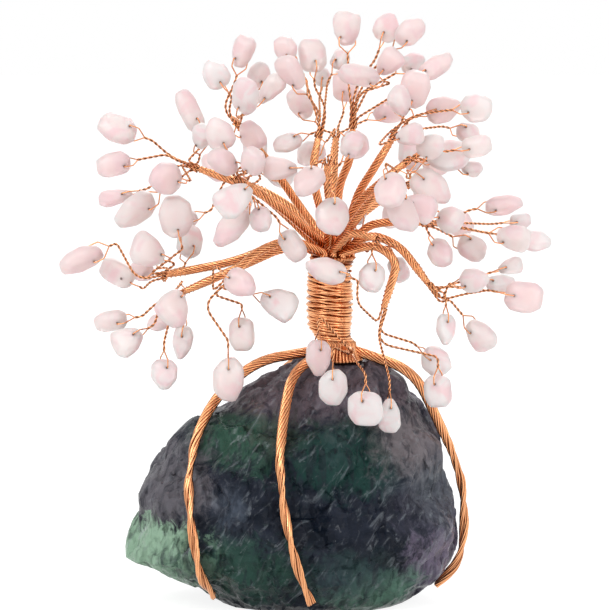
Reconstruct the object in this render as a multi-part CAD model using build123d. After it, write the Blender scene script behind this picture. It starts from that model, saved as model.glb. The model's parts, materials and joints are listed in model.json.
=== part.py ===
from build123d import *
import math
import os
import numpy as np

# Gemstone tree: drilled rose quartz chips on twisted copper wire, rooted over a raw fluorite block.
# Frame: origin on the flat underside of the block below the tree, +Z up, -Y towards the viewer.

# Overall sizes, in millimetres
TREE_RISE = 139.2
SPREAD = 58.0
CANOPY_DEPTH = 40.0
VIEW_RISE_DEG = 6.0

# Picture columns and rows of the tree: axis column, ground row, half width and height
AXIS_PX = 300
GROUND_PX = 600
HALF_WIDTH_PX = 250
HEIGHT_PX = 600

# Wire
WIRE = 0.32
STEM = 0.64
ROPE = 2.0
ROOT = 2.4
SEAT_GAP = 0.06
WIRE_SIDES = 4
STEM_SIDES = 5
ROPE_SIDES = 7

# Chips
CHIP_THICK = 4.2
HOLE = 0.46
PINCHED_HOLE = 0.6
HOLE_SHARE = 0.25
FACE_SHARE = 0.62
RIM_SHARE = 0.44
EYE_RISE = 1.7
EYE_GAP = 0.12
CHIP_GAP = 0.7
TAIL_ROOM = 0.4
SWING_ROOM = 0.8
SETTLE_STEP = 0.1
OWN_ROOM = 0.6

# Trunk
CORE_WAIST = 7.2
CORE_TOP = 10.8
CORE_FOOT = 8.4
TRUNK_FOOT_SHARES = (0.150, 0.0, 0.428)
TRUNK_WAIST_SHARES = (0.118, 0.0, 0.446)
TRUNK_NECK_SHARES = (0.118, 0.0, 0.552)
TRUNK_TOP_SHARES = (0.130, 0.0, 0.572)
CORE_SIDES = 24
TURNS = 10
WIND_SIDES = 6
TURN_POINTS = 40
WIND_WIRE = 0.5
WIND_GAP = 0.12
TURN_GAP = 0.75

# Block
ROCK_WIDE = 77.5
ROCK_DEEP = 52.0
ROCK_TALL = 56.0
ROCK_X = -2.1
ROCK_POINTS = 20


def unit(vector):
    return vector / np.linalg.norm(vector)


def spot(column, row, depth_share):
    """Place of a picture point at a depth, away from the viewer, given as a share of the canopy."""
    depth = depth_share * CANOPY_DEPTH
    across = (column - AXIS_PX) / HALF_WIDTH_PX * SPREAD
    rise = (GROUND_PX - row) / HEIGHT_PX * TREE_RISE
    return np.array([across, depth, rise - depth * math.tan(math.radians(VIEW_RISE_DEG))])


def wave(number, step):
    """Even scatter between -1 and 1."""
    return 2.0 * ((number * step) % 1.0) - 1.0


# Twigs: way points and node (column, row, depth share), then chips as
# (column, row, length, width in picture points, lean in degrees from the hole to the far end, depth share)
TWIGS = {
    "left_tip": ([(284, 241, -0.06), (237, 262, -0.09), (168, 275, -0.10)], [
        (84, 260, 46, 27, 205, -0.10), (119, 273, 38, 25, 150, 0.04), (152, 252, 40, 34, 150, -0.28),
        (141, 270, 28, 24, 190, 0.18), (179, 218, 44, 34, 100, -0.24), (190, 241, 34, 28, 80, 0.10)]),
    "left_low": ([(286, 247, -0.16), (240, 268, -0.20), (186, 292, -0.20)], [
        (177, 307, 38, 36, 250, -0.46), (184, 342, 36, 20, 262, -0.10), (160, 322, 30, 18, 200, 0.12),
        (113, 321, 34, 21, 190, -0.06), (131, 340, 32, 30, 210, -0.26), (168, 373, 31, 26, 270, -0.42)]),
    "left_drop": ([(290, 240, -0.24), (258, 252, -0.30), (226, 283, -0.30)], [
        (230, 378, 44, 31, 270, -0.34), (243, 334, 34, 26, 270, -0.20), (279, 304, 38, 33, 340, -0.34),
        (243, 284, 36, 26, 330, -0.56)]),
    "left_far": ([(296, 226, -0.02), (258, 190, -0.03), (200, 170, -0.04)], [
        (121, 130, 40, 32, 160, -0.06), (118, 167, 34, 24, 190, -0.22), (117, 197, 36, 17, 195, 0.10),
        (138, 212, 46, 34, 215, -0.16), (170, 181, 35, 32, 170, -0.34), (191, 112, 46, 21, 115, 0.06),
        (205, 140, 26, 22, 80, -0.20)]),
    "left_mid": ([(300, 226, -0.18), (274, 204, -0.27), (246, 186, -0.30)], [
        (222, 138, 34, 28, 115, -0.38), (226, 166, 36, 24, 150, -0.52), (255, 166, 28, 25, 75, -0.56),
        (237, 203, 44, 32, 215, -0.62), (233, 230, 46, 28, 230, -0.44), (262, 222, 26, 22, 290, -0.50),
        (293, 247, 34, 22, 300, -0.40)]),
    "left_top": ([(304, 214, 0.08), (272, 166, 0.06), (240, 128, 0.02)], [
        (244, 54, 33, 23, 75, 0.02), (217, 77, 31, 26, 125, -0.06), (259, 76, 28, 22, 70, 0.16),
        (247, 101, 40, 28, 80, -0.34), (271, 92, 36, 20, 50, -0.04), (254, 139, 32, 30, 330, -0.14)]),
    "crown_left": ([(318, 206, -0.12), (312, 172, -0.16), (318, 140, -0.14)], [
        (286, 52, 26, 22, 125, -0.06), (312, 57, 34, 28, 95, 0.06), (292, 78, 38, 26, 125, -0.28),
        (323, 77, 20, 16, 80, 0.22), (288, 145, 30, 18, 200, -0.16), (340, 60, 22, 18, 60, 0.16)]),
    "crown_front": ([(330, 214, -0.26), (327, 190, -0.36), (326, 168, -0.40)], [
        (281, 172, 34, 24, 180, -0.44), (308, 186, 38, 28, 230, -0.60), (331, 219, 38, 33, 275, -0.56),
        (350, 150, 28, 20, 60, -0.52)]),
    "crown_top": ([(338, 188, 0.00), (350, 160, -0.03), (352, 130, -0.06)], [
        (346, 32, 34, 34, 92, -0.06), (386, 29, 30, 26, 70, 0.10), (408, 36, 34, 24, 45, -0.08),
        (357, 81, 44, 22, 165, -0.28), (387, 67, 30, 25, 50, -0.20), (412, 64, 26, 20, 30, 0.12),
        (433, 70, 40, 20, 35, -0.04)]),
    "crown_right": ([(354, 200, -0.06), (374, 168, -0.14), (390, 142, -0.18)], [
        (411, 94, 38, 30, 70, -0.30), (396, 108, 34, 24, 110, -0.48), (441, 112, 36, 26, 15, -0.14),
        (472, 112, 32, 29, 5, -0.20), (466, 134, 24, 20, 345, 0.02), (406, 141, 30, 22, 20, -0.50)]),
    "right_upper": ([(354, 206, -0.10), (380, 184, -0.25), (402, 166, -0.28)], [
        (427, 151, 30, 26, 40, -0.44), (446, 158, 46, 32, 10, -0.20), (472, 150, 30, 22, 10, -0.28),
        (469, 170, 22, 17, 350, -0.06), (428, 190, 44, 30, 325, -0.30)]),
    "right_front": ([(354, 222, -0.30), (370, 202, -0.42), (384, 188, -0.48)], [
        (386, 196, 36, 32, 280, -0.72), (398, 216, 40, 34, 285, -0.68), (416, 210, 34, 28, 335, -0.58)]),
    "right_arm": ([(364, 226, -0.02), (392, 222, -0.08), (420, 224, -0.12)], [
        (501, 206, 38, 20, 8, -0.10), (446, 222, 30, 26, 15, -0.36), (519, 221, 22, 16, 5, 0.10),
        (509, 239, 34, 30, 350, -0.22), (532, 241, 34, 22, 350, -0.02), (437, 254, 30, 24, 300, -0.26),
        (470, 248, 30, 28, 330, -0.02)]),
    "right_low": ([(368, 234, -0.12), (398, 246, -0.16), (426, 284, -0.20)], [
        (508, 267, 26, 18, 15, -0.04), (470, 281, 30, 24, 10, -0.36), (497, 284, 30, 18, 5, -0.16),
        (519, 297, 38, 32, 350, -0.26), (477, 335, 36, 29, 310, -0.16), (443, 329, 32, 19, 270, -0.24)]),
    "right_drop": ([(374, 245, -0.24), (396, 262, -0.27), (382, 308, -0.26)], [
        (434, 361, 32, 28, 320, -0.14), (435, 390, 32, 28, 270, -0.32), (387, 413, 34, 22, 270, -0.48),
        (325, 271, 44, 24, 160, -0.50)]),
    "right_inner": ([(360, 240, -0.30), (374, 240, -0.34)], [
        (370, 278, 30, 26, 270, -0.38), (398, 270, 30, 20, 290, 0.02), (358, 214, 24, 18, 100, 0.12)]),
    "trunk_front": ([(350, 350, -0.26), (350, 351, -0.34)], [
        (318, 357, 36, 24, 270, -0.48), (332, 385, 36, 28, 270, -0.60), (363, 405, 33, 35, 270, -0.66)]),
    "back_left": ([(312, 222, 0.20), (276, 196, 0.36), (246, 182, 0.44)], [
        (181, 220, 34, 28, 200, 0.40), (215, 163, 36, 28, 150, 0.58), (237, 205, 34, 28, 250, 0.68),
        (254, 140, 34, 26, 90, 0.62), (280, 172, 34, 28, 350, 0.72)]),
    "back_right": ([(352, 222, 0.20), (384, 196, 0.36), (408, 184, 0.44)], [
        (440, 160, 34, 28, 20, 0.50), (460, 222, 32, 26, 330, 0.42), (412, 150, 34, 28, 80, 0.66),
        (396, 210, 34, 28, 280, 0.70), (432, 190, 34, 28, 340, 0.68)]),
    "back_top": ([(334, 196, 0.16), (334, 156, 0.32), (336, 136, 0.40)], [
        (300, 100, 34, 26, 130, 0.50), (346, 82, 34, 28, 85, 0.48), (390, 108, 34, 28, 20, 0.54),
        (310, 150, 34, 28, 220, 0.68), (356, 140, 34, 28, 320, 0.72)]),
}

# Chips that hang free and swing on the wire: picture column and row, and name
HANGING = {
    (168, 373): "hanging_chip_far_left",
    (230, 378): "hanging_chip_left",
    (243, 334): "hanging_chip_mid_left",
    (443, 329): "hanging_chip_right",
    (435, 390): "hanging_chip_far_right",
    (387, 413): "hanging_chip_low_right",
    (370, 278): "hanging_chip_inner",
    (318, 357): "hanging_chip_trunk",
    (332, 385): "hanging_chip_low_front",
    (363, 405): "hanging_chip_low_mid",
}

# Chip outlines as (along share, half-width share), hole end first, one side and then the other
OUTLINE_SHARES = (
    (((0.00, 0.40), (0.20, 0.92), (0.62, 1.00), (1.00, 0.42)),
     ((0.04, 0.34), (0.30, 0.96), (0.76, 0.94), (0.97, 0.38))),
    (((0.02, 0.46), (0.14, 0.86), (0.74, 1.00), (0.98, 0.62)),
     ((0.00, 0.50), (0.20, 0.98), (0.70, 0.98), (1.00, 0.52))),
    (((0.00, 0.30), (0.34, 0.84), (0.78, 1.00), (1.00, 0.56)),
     ((0.03, 0.32), (0.36, 0.78), (0.84, 1.00), (0.98, 0.50))),
    (((0.03, 0.54), (0.24, 1.00), (0.66, 0.94), (0.97, 0.30)),
     ((0.00, 0.46), (0.16, 0.92), (0.58, 1.00), (1.00, 0.26))),
)


def plan_chips():
    """Every chip with its place, axes and size."""
    chips = []
    for twig, (way, rows) in TWIGS.items():
        node = spot(*way[-1])
        for column, row, length_px, width_px, lean, share in rows:
            number = len(chips)
            per_px = SPREAD / HALF_WIDTH_PX
            name = HANGING.get((column, row))
            chip = {"twig": twig, "name": name, "column": column, "row": row, "share": share,
                    "length": length_px * per_px, "width": width_px * per_px, "lean": math.radians(lean),
                    "family": number * 5 % len(OUTLINE_SHARES), "number": number}
            chip["thick"] = min(CHIP_THICK, 0.8 * chip["width"])
            chip["node"] = node
            chips.append(chip)
    for chip in chips:
        set_chip(chip)
    return chips


def set_chip(chip):
    """Axes of a chip: along from the hole to the far end, through along the drilled hole, side across."""
    chip["centre"] = spot(chip["column"], chip["row"], chip["share"])
    flat = np.array([math.cos(chip["lean"]), 0.0, math.sin(chip["lean"])])
    if chip["name"]:
        chip["along"] = np.array([0.0, 0.0, -1.0])
        turn = math.radians(25.0 * wave(chip["number"], 0.37))
    else:
        away = unit(chip["centre"] - chip["node"])
        pitch = math.asin(max(-0.6, min(0.6, 0.8 * away[1])))
        chip["along"] = unit(flat * math.cos(pitch) + np.array([0.0, math.sin(pitch), 0.0]))
        turn = math.radians(50.0 * wave(chip["number"], 0.37))
    view = np.array([0.0, -1.0, 0.0])
    face = unit(view - chip["along"] * np.dot(view, chip["along"]))
    side = np.cross(chip["along"], face)
    chip["through"] = face * math.cos(turn) + side * math.sin(turn)
    chip["side"] = np.cross(chip["through"], chip["along"])
    chip["hole"] = chip["centre"] - chip["along"] * (0.5 - HOLE_SHARE) * chip["length"]
    chip["tail"] = chip["centre"] - chip["along"] * (0.5 * chip["length"] + EYE_RISE)


def gaps_between(first_start, first_end, second_start, second_end):
    """Least distance between every run of one list and every run of another."""
    a = first_start[:, None, :]
    u = first_end[:, None, :] - a
    b = second_start[None, :, :]
    v = second_end[None, :, :] - b
    w = a - b
    uu = np.maximum((u * u).sum(-1), 1e-9)
    vv = np.maximum((v * v).sum(-1), 1e-9)
    uv = (u * v).sum(-1)
    uw = (u * w).sum(-1)
    vw = (v * w).sum(-1)
    span = np.maximum(uu * vv - uv * uv, 1e-9)
    s = np.clip((uv * vw - vv * uw) / span, 0.0, 1.0)
    t = np.clip((uv * s + vw) / vv, 0.0, 1.0)
    s = np.clip((uv * t - uw) / uu, 0.0, 1.0)
    apart = w + s[..., None] * u - t[..., None] * v
    return np.sqrt((apart * apart).sum(-1)), apart


def chip_runs(chips):
    """Chips as round-ended bars: start, end and radius."""
    start, end, radius = [], [], []
    for chip in chips:
        half = max(0.0, 0.5 * chip["length"] - 0.42 * chip["width"])
        start.append(chip["centre"] - chip["along"] * (half + TAIL_ROOM))
        end.append(chip["centre"] + chip["along"] * half)
        radius.append(0.47 * chip["width"] + (SWING_ROOM if chip["name"] else 0.0))
    return np.array(start), np.array(end), np.array(radius)


def settle_chips(chips):
    """Move chips that would touch apart along the line of sight."""
    for _ in range(160):
        start, end, radius = chip_runs(chips)
        apart, _line = gaps_between(start, end, start, end)
        need = radius[:, None] + radius[None, :] + CHIP_GAP - apart
        np.fill_diagonal(need, 0.0)
        if need.max() <= 0.0:
            break
        for i, j in zip(*np.nonzero(np.triu(need) > 0.0)):
            ahead = chips[i]["share"] < chips[j]["share"]
            step = (0.5 * need[i, j] + SETTLE_STEP) / CANOPY_DEPTH
            chips[i]["share"] += -step if ahead else step
            chips[j]["share"] += step if ahead else -step
        for chip in chips:
            set_chip(chip)


def hex_seats(count, pitch):
    """Seats of a round bundle, middle first."""
    seats = [(0.0, 0.0)]
    ring = 1
    while len(seats) < count:
        for k in range(6 * ring):
            corner = math.radians(60.0 * (k // ring))
            after = math.radians(60.0 * (k // ring + 1))
            part = (k % ring) / ring
            seats.append((ring * pitch * (math.cos(corner) * (1 - part) + math.cos(after) * part),
                          ring * pitch * (math.sin(corner) * (1 - part) + math.sin(after) * part)))
        ring += 1
    return seats


def cross_axes(axis):
    """Two directions square to an axis."""
    lead = np.array([1.0, 0.0, 0.0])
    if abs(axis[0]) > 0.9:
        lead = np.array([0.0, 0.0, 1.0])
    first = unit(lead - axis * np.dot(lead, axis))
    return first, np.cross(axis, first)


def bundle(seats, origin, axis, targets):
    """Give each target the free seat that lies most on its side, most sideways first."""
    first, second = cross_axes(axis)
    places = [origin + first * x + second * y for x, y in seats]
    heading = [unit(target - origin) for target in targets]
    order = sorted(range(len(targets)), key=lambda k: np.dot(heading[k], axis))
    taken = [None] * len(targets)
    free = set(range(len(seats)))
    for k in order:
        flat = heading[k] - axis * np.dot(heading[k], axis)
        best = max(free, key=lambda m: np.dot(places[m] - origin, flat))
        free.remove(best)
        taken[k] = places[best]
    for _ in range(4):
        for k in range(len(taken)):
            for m in range(k):
                if np.dot(taken[k] - taken[m], heading[k] - heading[m]) < 0.0:
                    taken[k], taken[m] = taken[m], taken[k]
    return taken


def share_point(shares):
    return np.array([shares[0] * SPREAD, shares[1] * CANOPY_DEPTH, shares[2] * TREE_RISE])


FOOT = share_point(TRUNK_FOOT_SHARES)
WAIST = share_point(TRUNK_WAIST_SHARES)
NECK = share_point(TRUNK_NECK_SHARES)
TOP = share_point(TRUNK_TOP_SHARES)
UP = np.array([0.0, 0.0, 1.0])
FIRST_LEAD = 1.2
LEAD_GAIN_SHARE = 2.6
LOW_TWIG = "trunk_front"
LOW_SEAT_DEG = 300.0


def runs_of(points):
    return np.array(points[:-1]), np.array(points[1:])


def plan_ropes(chips):
    """Route of every rope from its seat on the trunk to its node, kept clear of chips and other ropes."""
    names = [name for name in TWIGS if name != LOW_TWIG]
    targets = [spot(*TWIGS[name][0][0]) for name in names]
    seats = bundle(hex_seats(19, ROPE + SEAT_GAP), TOP, UP, targets)
    bars = chip_runs(chips)
    ropes = {}
    rooms = {}
    for _ in range(3):
        for name, seat in zip(names, seats):
            way = [spot(*point) for point in TWIGS[name][0]]
            inner = 1.0 - np.linalg.norm(seat - TOP) / (2.0 * (ROPE + SEAT_GAP))
            rise = seat + UP * FIRST_LEAD * (1.0 + LEAD_GAIN_SHARE * inner)
            others = [runs_of(route) for other, route in ropes.items() if other != name]
            starts = np.concatenate([bars[0]] + [pair[0] for pair in others])
            ends = np.concatenate([bars[1]] + [pair[1] for pair in others])
            radii = np.full(len(starts), 0.5 * ROPE)
            radii[:len(chips)] = bars[2]
            best = (-SPREAD, None)
            for near, far in DODGES:
                shifts = [near] + [far] * (len(way) - 2)
                moved = [point + np.array(shift) * ROPE for point, shift in zip(way[:-1], shifts)]
                route = [seat, rise] + moved + [way[-1]]
                gap, _line = gaps_between(*runs_of(route[1:]), starts, ends)
                room = (gap - radii[None, :]).min() - 0.5 * ROPE
                if room > best[0]:
                    best = (room, route)
                if room > ROPE_GAP:
                    break
            ropes[name] = best[1]
            rooms[name] = best[0]
    tight = {name: round(float(room), 2) for name, room in rooms.items() if room < 0.5 * SEAT_GAP}
    print("ropes with little room", tight)
    return ropes


STEP_SHARES = [(0, 0, 0), (0, -0.6, 0), (0, 0.6, 0), (0, 0, 0.6), (0, 0, -0.6), (0.6, 0, 0), (-0.6, 0, 0),
               (0, -1.4, 0), (0, 1.4, 0), (0, 0, 1.4), (0, 0, -1.4), (0.8, -0.8, 0.4), (-0.8, -0.8, 0.4),
               (0, -1.0, 1.0), (0, 1.0, 1.0), (0, -1.0, -1.0), (0, 1.0, -1.0), (1.2, 0, 0.8), (-1.2, 0, 0.8)]
DODGES = sorted(((near, far) for near in STEP_SHARES for far in STEP_SHARES),
                key=lambda pair: sum(abs(value) for value in pair[0] + pair[1]))
ROPE_GAP = 0.35
LEAD_SHARES = (0.14, 0.30, 0.46)
STEM_GAP = 0.2
BOW_SHARES = [(0, 0, 0)] + [(x, y, z) for size in (4, 8, 12) for x, y, z in (
    (0, size, 0), (0, -size, 0), (0, 0, size), (0, 0, -size), (size, 0, 0), (-size, 0, 0),
    (size, size, 0), (-size, size, 0), (size, -size, 0), (-size, -size, 0))]


def plan_stems(chips, ropes):
    """Route of every stem from its rope's end to its chip's eye, choosing the clearest of a few bends."""
    bars = list(chip_runs(chips)) + [np.array([chip["number"] for chip in chips]), np.zeros(len(chips))]
    seats = {}
    for index, (name, route) in enumerate(ropes.items()):
        mine = [chip for chip in chips if chip["twig"] == name]
        axis = unit(route[-1] - route[-2])
        tails = [chip["tail"] for chip in mine]
        for chip, seat in zip(mine, bundle(hex_seats(7, STEM + SEAT_GAP), route[-1], axis, tails)):
            seats[chip["number"]] = (seat, axis, index)
        start, end = runs_of(route)
        mark = np.full(len(start), -1 - index)
        mark[:-1] = -99
        add_runs(bars, start, end, 0.5 * ROPE, mark, np.zeros(len(start)))
    short = {}
    for chip in sorted(chips, key=lambda item: np.linalg.norm(item["tail"] - item["node"])):
        seat, axis, index = seats[chip["number"]]
        reach = np.linalg.norm(chip["tail"] - seat)
        best = (-SPREAD, None)
        for bow in BOW_SHARES:
            if best[0] > STEM_GAP:
                break
            for first_share in LEAD_SHARES:
                for last_share in LEAD_SHARES:
                    first = seat + axis * max(first_share * reach, 2.0 * STEM)
                    last = chip["tail"] - chip["along"] * max(last_share * reach, 2.0 * STEM)
                    middle = [0.5 * (first + last) + np.array(bow) * STEM] if any(bow) else []
                    route = [seat, first] + middle + [last, chip["tail"]]
                    room = stem_room(chip["number"], index, route, bars)
                    if room > best[0]:
                        best = (room, route)
        chip["stem"] = best[1]
        start, end = runs_of(best[1])
        beside = np.zeros(len(start))
        beside[0] = index + 1
        add_runs(bars, start, end, 0.5 * STEM, np.full(len(start), 1000 + index), beside)
        if best[0] < SEAT_GAP:
            short[(chip["column"], chip["row"])] = round(float(best[0]), 2)
    return short


def add_runs(bars, start, end, radius, mark, beside):
    """Add runs to the list of what a wire has to clear."""
    extra = [start, end, np.full(len(start), radius), mark, beside]
    for k, rows in enumerate(extra):
        bars[k] = np.concatenate([bars[k], rows])


def stem_room(number, index, route, bars):
    """Least gap from a stem to the chips, ropes and stems around it."""
    start, end = runs_of(route)
    gap, _line = gaps_between(start, end, bars[0], bars[1])
    gap = gap - bars[2][None, :] - 0.5 * STEM
    own = bars[3] == number
    gap[-1, own] = SPREAD
    gap[-2, own] += OWN_ROOM
    gap[:, bars[3] == -1 - index] = SPREAD
    gap[0, bars[3] == 1000 + index] = SPREAD
    gap[:, bars[4] == index + 1] = SPREAD
    return gap.min()


def ring_at(points, place, direction, normal):
    """Carry a ring along a run to the plane through a place."""
    return [q + direction * (np.dot(place - q, normal) / np.dot(direction, normal)) for q in points]


def bands(rings):
    """Flat four-sided facets between rings of points."""
    faces = []
    for low, high in zip(rings, rings[1:]):
        for k in range(len(low)):
            after = (k + 1) % len(low)
            faces.append(Face(polygon([low[k], low[after], high[after], high[k]])))
    return faces


def facets(rings):
    """Closed solid through rings of points."""
    return Solid(Shell(bands(rings) + [Face(polygon(rings[0])), Face(polygon(rings[-1]))]))


def bar(route, width, sides, first_normal=None, last_normal=None):
    """Straight runs of wire with mitred bends."""
    headings = [unit(b - a) for a, b in zip(route, route[1:])]
    first, second = cross_axes(headings[0])
    ring = []
    for k in range(sides):
        angle = 2.0 * math.pi * k / sides
        ring.append(route[0] + (first * math.cos(angle) + second * math.sin(angle)) * 0.5 * width)
    if first_normal is not None:
        ring = ring_at(ring, route[0], headings[0], first_normal)
    rings = [ring]
    for place, before, after in zip(route[1:-1], headings, headings[1:]):
        ring = ring_at(ring, place, before, unit(before + after))
        rings.append(ring)
    closing = headings[-1] if last_normal is None else last_normal
    rings.append(ring_at(ring, route[-1], headings[-1], closing))
    return facets(rings)


def chip_rings(chip):
    """Outlines of a chip at its two faces and the two edges of its rim."""
    one, two = OUTLINE_SHARES[chip["family"]]
    outline = [(a, b) for a, b in one] + [(a, -b) for a, b in reversed(two)]
    half = 0.5 * chip["thick"]
    rows = []
    levels = ((-half, FACE_SHARE), (-RIM_SHARE * half, 1.0), (RIM_SHARE * half, 1.0), (half, FACE_SHARE))
    for level, grow in levels:
        ring = []
        for a, b in outline:
            along = (a - 0.5) * chip["length"] * grow + (0.5 - HOLE_SHARE) * chip["length"]
            aside = 0.5 * b * chip["width"] * grow
            ring.append(chip["hole"] + chip["along"] * along + chip["side"] * aside + chip["through"] * level)
        rows.append(ring)
    return rows


def polygon(points):
    return Wire.make_polygon([Vector(*q) for q in points], close=True)


def chip_solid(chip):
    """Tumbled chip with bevelled rims and its drilled hole, round where the chip swings on the wire."""
    if chip["name"]:
        seat = Plane(origin=Vector(*chip["hole"]), z_dir=Vector(*chip["through"]))
        drill = seat * Cylinder(0.5 * HOLE, 4 * CHIP_THICK)
    else:
        reach = chip["through"] * CHIP_THICK
        drill = bar([chip["hole"] - reach, chip["hole"] + reach], PINCHED_HOLE, WIRE_SIDES)
    return facets(chip_rings(chip)) - drill


def eye_wire(chip):
    """Bare wire from the stem's end round the rim, straight through the hole and back."""
    rise = np.linalg.norm(chip["tail"] - chip["hole"])
    rim = 0.5 * chip["thick"] + 0.5 * WIRE + EYE_GAP
    near = HOLE_SHARE * chip["length"]
    start = 0.5 * (WIRE + SEAT_GAP)
    a, n = chip["along"], chip["through"]
    shoulder = min(near + 0.35 * EYE_RISE, rise - 2.0 * WIRE)
    route = [chip["tail"] + n * start, chip["hole"] - a * shoulder * 0.75 + n * rim, chip["hole"] + n * rim,
             chip["hole"] - n * rim, chip["hole"] - a * shoulder * 0.75 - n * rim, chip["tail"] - n * start]
    return bar(route, WIRE, WIRE_SIDES, a, a)


# Levels of the block: height, then reach to the left, right, front and back, as shares of its half sizes
ROCK_LEVEL_SHARES = (
    (0.00, 0.42, 0.70, 0.70, 0.72), (0.06, 0.58, 0.82, 0.84, 0.82), (0.13, 0.80, 0.90, 0.92, 0.92),
    (0.19, 0.96, 0.96, 0.97, 0.97), (0.26, 1.00, 1.00, 1.00, 1.00), (0.35, 0.93, 0.97, 0.97, 0.98),
    (0.45, 0.90, 0.93, 0.93, 0.94), (0.55, 0.85, 0.92, 0.87, 0.90), (0.65, 0.75, 0.89, 0.79, 0.82),
    (0.75, 0.56, 0.82, 0.66, 0.72), (0.84, 0.40, 0.75, 0.54, 0.60), (0.92, 0.18, 0.65, 0.38, 0.44),
    (1.00, -0.05, 0.46, 0.20, 0.24))
ROUGH = 1.5
ROOT_GAP = 0.5

# Roots: seat on the trunk's foot in degrees, side that it is laid on from, and its way as shares of the
# block's half width (or half depth, on the right) and height; a third share is a depth off the block
ROOTS = {
    "root_left": (180, (0, -1), [(-0.18, 0.97, -0.22), (-0.44, 0.86, -0.30), (-0.52, 0.70), (-0.57, 0.54),
                                 (-0.55, 0.33), (-0.50, 0.18), (-0.44, 0.09)]),
    "root_front": (240, (0, -1), [(0.02, 0.92), (-0.04, 0.75), (-0.06, 0.60), (-0.04, 0.46), (0.00, 0.31),
                                  (0.05, 0.17), (0.12, 0.08)]),
    "root_right": (0, (1, 0), [(-0.14, 0.90), (-0.06, 0.72), (0.00, 0.50), (0.02, 0.30), (0.02, 0.17),
                               (0.02, 0.08)]),
    "root_back_right": (60, (0, 1), [(0.44, 0.90), (0.50, 0.72), (0.48, 0.50), (0.44, 0.29), (0.42, 0.17),
                                     (0.40, 0.08)]),
    "root_back_left": (120, (0, 1), [(0.02, 0.90), (-0.22, 0.70), (-0.34, 0.48), (-0.34, 0.28), (-0.32, 0.17),
                                     (-0.28, 0.08)]),
}


def rock_rings():
    """Uneven outlines of the block from its flat underside to its top."""
    rings = []
    for level, (height, left, right, front, back) in enumerate(ROCK_LEVEL_SHARES):
        ring = []
        for k in range(ROCK_POINTS):
            angle = 2.0 * math.pi * (k + 0.5 * (level % 2)) / ROCK_POINTS
            rough = ROUGH * wave(7 * level + k * k, 0.618) * (1.0 if 0.0 < height < 1.0 else 0.4)
            middle = 0.5 * (right - left)
            wide = 0.5 * (right + left)
            deep = back if math.sin(angle) > 0 else front
            x = ROCK_X + 0.5 * ROCK_WIDE * (middle + wide * math.cos(angle)) + rough * math.cos(angle)
            y = 0.5 * ROCK_DEEP * deep * math.sin(angle) + rough * math.sin(angle)
            ring.append(np.array([x, y, height * ROCK_TALL]))
        rings.append(ring)
    return rings


def rock_triangles(rings):
    """Three-sided facets between the outlines, wound outwards."""
    triangles = []
    for level, (low, high) in enumerate(zip(rings, rings[1:])):
        for k in range(ROCK_POINTS):
            after = (k + 1) % ROCK_POINTS
            if level % 2:
                triangles += [(low[k], low[after], high[after]), (low[k], high[after], high[k])]
            else:
                triangles += [(low[k], low[after], high[k]), (low[after], high[after], high[k])]
    return np.array(triangles)


def rock_hit(triangles, origin, heading):
    """First point of the block on a line of sight, and the facet's outward direction."""
    a = triangles[:, 0]
    one = triangles[:, 1] - a
    two = triangles[:, 2] - a
    cross = np.cross(heading, two)
    det = (one * cross).sum(-1)
    det = np.where(np.abs(det) < 1e-9, 1e-9, det)
    reach = origin - a
    u = (reach * cross).sum(-1) / det
    turn = np.cross(reach, one)
    v = (turn * heading).sum(-1) / det
    t = (two * turn).sum(-1) / det
    good = (u >= -1e-6) & (v >= -1e-6) & (u + v <= 1 + 1e-6) & (t > 0)
    if not good.any():
        return None
    pick = np.argmin(np.where(good, t, 1e9))
    normal = unit(np.cross(one[pick], two[pick]))
    return origin + heading * t[pick], normal


def rock_room(triangles, point):
    """Gap from a point to the block, and the way out."""
    heart = np.array([ROCK_X + 0.1 * ROCK_WIDE, 0.0, 0.3 * ROCK_TALL])
    heading = unit(point - heart)
    found = rock_hit(triangles, heart, heading)
    if found is None:
        return ROCK_WIDE, UP
    surface, normal = found
    beyond = np.dot(point - heart, heading) - np.linalg.norm(surface - heart)
    return beyond * abs(np.dot(normal, heading)), normal


def foot_seat(seat_deg):
    """Seat of a root on the trunk's foot."""
    angle = math.radians(seat_deg)
    return FOOT + (ROOT + SEAT_GAP) * np.array([math.cos(angle), math.sin(angle), 0.0])


def root_route(triangles, seat_deg, side, way):
    """Way of a root from the trunk's foot down the block."""
    seat = foot_seat(seat_deg)
    outward = np.array([side[0], side[1], 0.0])
    points = []
    for shares in way:
        height = shares[1] * ROCK_TALL
        if side[0]:
            place = np.array([0.0, shares[0] * 0.5 * ROCK_DEEP, height])
        else:
            place = np.array([ROCK_X + shares[0] * 0.5 * ROCK_WIDE, 0.0, height])
        if len(shares) == 3:
            points.append(place + np.array([0.0, shares[2] * 0.5 * ROCK_DEEP, 0.0]))
            continue
        surface, normal = rock_hit(triangles, place + outward * 2.0 * ROCK_WIDE, -outward)
        points.append(surface + normal * (0.5 * ROOT + ROOT_GAP))
    route = [seat, seat - UP * FIRST_LEAD] + points
    for _ in range(40):
        worst = 0.0
        for k in range(2, len(route)):
            for part in (0.0, 0.2, 0.4, 0.6, 0.8, 1.0):
                room, normal = rock_room(triangles, route[k - 1] * (1 - part) + route[k] * part)
                lack = 0.5 * ROOT + ROOT_GAP - room
                worst = max(worst, lack)
                if lack > 0.0:
                    route[k] = route[k] + normal * lack * (0.3 + 0.5 * part)
                    if k > 2:
                        route[k - 1] = route[k - 1] + normal * lack * 0.5 * (1 - part)
        if worst < 0.1 * ROOT_GAP:
            break
    return route


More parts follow.
